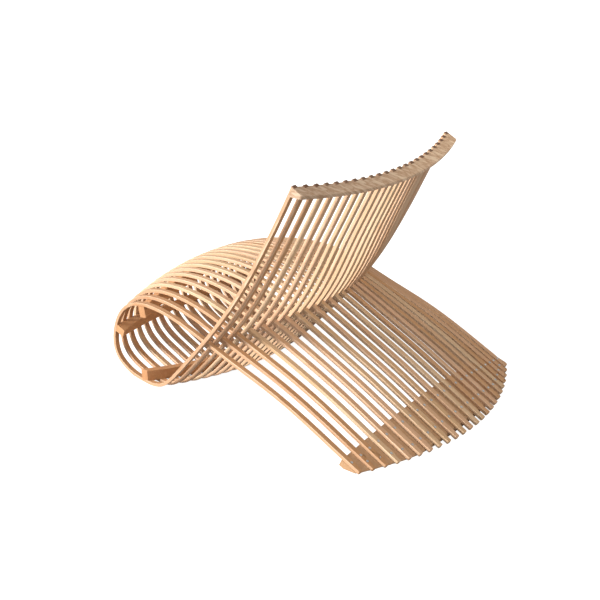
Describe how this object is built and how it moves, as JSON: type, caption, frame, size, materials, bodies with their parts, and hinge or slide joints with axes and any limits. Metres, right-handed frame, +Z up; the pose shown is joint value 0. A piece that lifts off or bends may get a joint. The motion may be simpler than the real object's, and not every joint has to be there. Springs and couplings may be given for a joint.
{
  "type": "slatted lounge chair",
  "caption": "Low lounge chair of bent wooden slats. Each runs from a rear foot over the seat, loops under the front, crosses between its neighbours and rises as the back.",
  "frame": {"origin": "on the floor under the middle of the chair's outline", "axes": "+X across the seat, to the sitter's left; +Y to the rear feet, away from the way the sitter faces; +Z up"},
  "size_m": [0.829, 1.1212, 0.7415],
  "materials": {
    "slat_wood": "pale oiled hardwood, fine grain along each slat",
    "rail_wood": "darker oiled hardwood, grain along the rail",
    "top_rail_wood": "grey-brown oiled hardwood, grain along the rail",
    "screw_steel": "satin"
  },
  "bodies": {
    "root": {"slat_01": "slat_wood", "slat_02": "slat_wood", "slat_03": "slat_wood", "slat_04": "slat_wood", "slat_05": "slat_wood", "slat_06": "slat_wood", "slat_07": "slat_wood", "slat_08": "slat_wood", "slat_09": "slat_wood", "slat_10": "slat_wood", "slat_11": "slat_wood", "slat_12": "slat_wood", "slat_13": "slat_wood", "slat_14": "slat_wood", "slat_15": "slat_wood", "slat_16": "slat_wood", "slat_17": "slat_wood", "slat_18": "slat_wood", "slat_19": "slat_wood", "slat_20": "slat_wood", "slat_21": "slat_wood", "slat_22": "slat_wood", "slat_23": "slat_wood", "slat_24": "slat_wood", "top_rail": "top_rail_wood", "foot_board": "rail_wood", "seat_front_rail": "rail_wood", "seat_top_rail": "rail_wood", "seat_bottom_rail": "rail_wood", "foot_board_screws": "screw_steel"}
  },
  "joints": []
}
